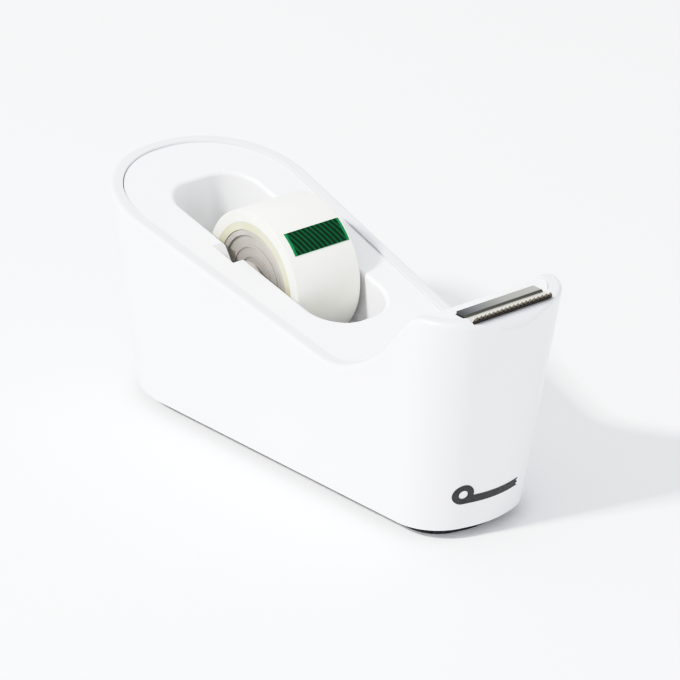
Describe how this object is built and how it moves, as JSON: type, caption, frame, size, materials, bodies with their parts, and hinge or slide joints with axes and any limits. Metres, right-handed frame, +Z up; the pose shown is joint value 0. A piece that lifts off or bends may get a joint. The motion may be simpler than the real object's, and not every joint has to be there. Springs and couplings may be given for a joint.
{
  "type": "desk tape dispenser",
  "caption": "Weighted desk tape dispenser: white drafted shell with inset tray, deep well with lift-out tape wheel, serrated steel cutter and non-skid foam base.",
  "frame": {"origin": "middle of the footprint, on the surface it stands on", "axes": "+X along its length towards the cutter, +Z up"},
  "size_m": [0.1378, 0.052, 0.0604],
  "materials": {
    "white_shell": "satin gloss",
    "white_tray": "satin gloss",
    "base_plastic": "matte",
    "black_foam": "matte, open-celled",
    "ballast_iron": "as cast",
    "screw_steel": "zinc plated",
    "blade_steel": "rolled strip",
    "black_ink": "printed",
    "axle_steel": "drawn",
    "cap_plastic": "moulded",
    "hub_plastic": "moulded, slightly translucent",
    "core_plastic": "moulded",
    "tape_film": "frosted film",
    "green_paper": "printed paper"
  },
  "bodies": {
    "housing": {"outer_shell": "white_shell", "top_tray": "white_tray", "base_plate": "base_plastic", "non_skid_pad": "black_foam", "rear_ballast": "ballast_iron", "front_ballast": "ballast_iron", "base_screws": "screw_steel", "ballast_screws": "screw_steel", "cutter_blade": "blade_steel", "front_mark": "black_ink"},
    "axle_set": {"axle": "axle_steel", "near_axle_cap": "cap_plastic", "far_axle_cap": "cap_plastic"},
    "tape_wheel": {"hub_near_half": "hub_plastic", "hub_far_half": "hub_plastic", "tape_core": "core_plastic", "tape_roll": "tape_film", "start_tab": "green_paper"}
  },
  "joints": [
    {"name": "wheel_lift", "type": "slide", "parent": "housing", "child": "axle_set", "axis": [-0.5592, 0, 0.829], "range_m": [0, 0.045]},
    {"name": "wheel_spin", "type": "hinge", "parent": "axle_set", "child": "tape_wheel", "pos_m": [-0.017, 0, 0.0389], "axis": [0, 1, 0], "continuous": true}
  ]
}
